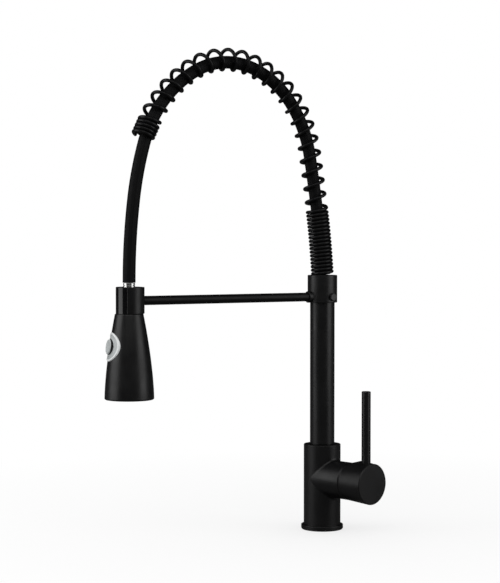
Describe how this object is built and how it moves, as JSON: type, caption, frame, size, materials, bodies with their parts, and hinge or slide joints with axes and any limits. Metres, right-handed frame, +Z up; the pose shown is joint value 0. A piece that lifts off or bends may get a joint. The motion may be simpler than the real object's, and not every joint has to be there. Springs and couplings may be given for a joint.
{
  "type": "pull-down kitchen faucet",
  "caption": "Single-lever kitchen faucet with a swivelling column, an exposed spring arch over its hose, and a pull-down spray head held in an open clip.",
  "frame": {"origin": "centre of the underside of the base, on the deck plane", "axes": "+Z up; the support arm and the spring arch reach along -Y; the lever's stub points along +X, turned 14 degrees toward +Y"},
  "size_m": [0.1093, 0.3187, 0.5518],
  "materials": {
    "matte_black": "matte, fine powder-coated",
    "satin_black": "satin black",
    "spring_wire": "satin black coated wire",
    "braided_hose": "woven black braid",
    "gloss_black": "glossy",
    "black_plastic": "moulded",
    "rubber": "silicone",
    "steel": "machined",
    "brass": "turned",
    "ceramic": "lapped",
    "white_plastic": "moulded acetal",
    "chrome": "polished",
    "grey_button": "satin",
    "grey_bezel": "satin"
  },
  "bodies": {
    "base": {"base_gasket": "rubber", "base_ring": "matte_black", "valve_body": "matte_black", "inlet_bush_hot": "brass", "inlet_bush_cold": "brass", "thrust_washer": "white_plastic", "spout_lock_screw": "steel", "cartridge_seals": "rubber", "fixed_disc": "ceramic", "cartridge_housing": "white_plastic", "cartridge_nut": "brass", "bonnet": "matte_black"},
    "cartridge_rotor": {"cartridge_rotor": "white_plastic", "stem_pin": "steel"},
    "mixing_disc": {"mixing_disc": "ceramic"},
    "lever": {"lever_stem": "brass", "handle_cap": "matte_black", "lever_rod": "satin_black", "handle_grub_screw": "steel"},
    "spout": {"column_foot": "brass", "foot_o_rings": "rubber", "column_tube": "matte_black", "collar": "matte_black", "clamp_screw": "satin_black", "hose_union": "brass", "spring_mount": "satin_black", "spring_base": "spring_wire", "support_arm": "matte_black", "arm_ferrule": "matte_black", "hose_clip": "matte_black", "clip_screw": "steel", "hose_section_0": "braided_hose"},
    "flex_1": {"hose_section_1": "braided_hose", "spring_coil_1": "spring_wire"},
    "flex_2": {"hose_section_2": "braided_hose", "spring_coil_2": "spring_wire"},
    "flex_3": {"hose_section_3": "braided_hose", "hose_section_4": "braided_hose", "spring_coil_3": "spring_wire", "spring_coil_4": "spring_wire"},
    "flex_4": {"hose_section_5": "braided_hose", "spring_coil_5": "spring_wire"},
    "flex_5": {"hose_section_6": "braided_hose"},
    "flex_6": {"hose_section_7": "braided_hose", "hose_nut": "chrome"},
    "spray_head": {"head_neck": "gloss_black", "check_valve": "white_plastic", "head_shell": "matte_black", "head_waterway": "white_plastic", "diverter_body": "white_plastic", "spray_face": "black_plastic", "spray_nozzles": "rubber", "aerator": "white_plastic", "button_bezel": "grey_bezel"},
    "mode_button": {"mode_button": "grey_button", "diverter_spool": "white_plastic", "button_spring": "steel"}
  },
  "joints": [
    {"name": "spout_swivel", "type": "hinge", "parent": "base", "child": "spout", "pos_m": [0, 0, 0.089], "axis": [0, 0, 1], "continuous": true},
    {"name": "handle_temperature", "type": "hinge", "parent": "base", "child": "cartridge_rotor", "pos_m": [0.02939, 0.00733, 0.06], "axis": [0.9703, 0.2419, 0], "range_deg": [-50, 50]},
    {"name": "handle_lift", "type": "hinge", "parent": "cartridge_rotor", "child": "lever", "pos_m": [0.02939, 0.00733, 0.06], "axis": [-0.2419, 0.9703, 0], "range_deg": [0, 22]},
    {"name": "mixing_slide", "type": "slide", "parent": "cartridge_rotor", "child": "mixing_disc", "axis": [0, 0, 1], "range_m": [0, 0.0051]},
    {"name": "hose_bend_1", "type": "hinge", "parent": "spout", "child": "flex_1", "pos_m": [0, -0.00768, 0.37259], "axis": [1, 0, 0], "range_deg": [0, 8], "stiffness_Nm_per_rad": 4, "springref_deg": -15.29},
    {"name": "hose_bend_2", "type": "hinge", "parent": "flex_1", "child": "flex_2", "pos_m": [0, -0.0178, 0.43578], "axis": [1, 0, 0], "range_deg": [0, 5.65], "stiffness_Nm_per_rad": 4, "springref_deg": -12.03},
    {"name": "hose_bend_3", "type": "hinge", "parent": "flex_2", "child": "flex_3", "pos_m": [0, -0.04167, 0.49356], "axis": [1, 0, 0], "range_deg": [0, 1.79], "stiffness_Nm_per_rad": 4, "springref_deg": -10.55},
    {"name": "hose_bend_4", "type": "hinge", "parent": "flex_3", "child": "flex_4", "pos_m": [0, -0.16722, 0.5272], "axis": [1, 0, 0], "range_deg": [-1.95, 0], "stiffness_Nm_per_rad": 4, "springref_deg": -3.67},
    {"name": "hose_bend_5", "type": "hinge", "parent": "flex_4", "child": "flex_5", "pos_m": [0, -0.23031, 0.4476], "axis": [1, 0, 0], "range_deg": [-4.37, 0], "stiffness_Nm_per_rad": 4, "springref_deg": -0.75},
    {"name": "hose_bend_6", "type": "hinge", "parent": "flex_5", "child": "flex_6", "pos_m": [0, -0.24392, 0.38411], "axis": [1, 0, 0], "range_deg": [-9.17, 0], "stiffness_Nm_per_rad": 4, "springref_deg": -0.22},
    {"name": "head_swivel", "type": "hinge", "parent": "flex_6", "child": "spray_head", "pos_m": [0, -0.24984, 0.28097], "axis": [0, 0, 1], "continuous": true},
    {"name": "button_press", "type": "slide", "parent": "spray_head", "child": "mode_button", "axis": [0.1549, 0.9778, -0.1414], "range_m": [0, 0.0018], "stiffness_N_per_m": 400, "springref_m": -0.002, "deforming": ["button_spring"]}
  ],
  "couplings": [
    {"joint": "mixing_slide", "follows": "handle_lift", "m_per_rad": 0.013},
    {"joint": "hose_bend_2", "follows": "hose_bend_1", "ratio": 0.7},
    {"joint": "hose_bend_3", "follows": "hose_bend_1", "ratio": 0.217},
    {"joint": "hose_bend_4", "follows": "hose_bend_1", "ratio": -0.237},
    {"joint": "hose_bend_5", "follows": "hose_bend_1", "ratio": -0.54},
    {"joint": "hose_bend_6", "follows": "hose_bend_1", "ratio": -1.14}
  ]
}
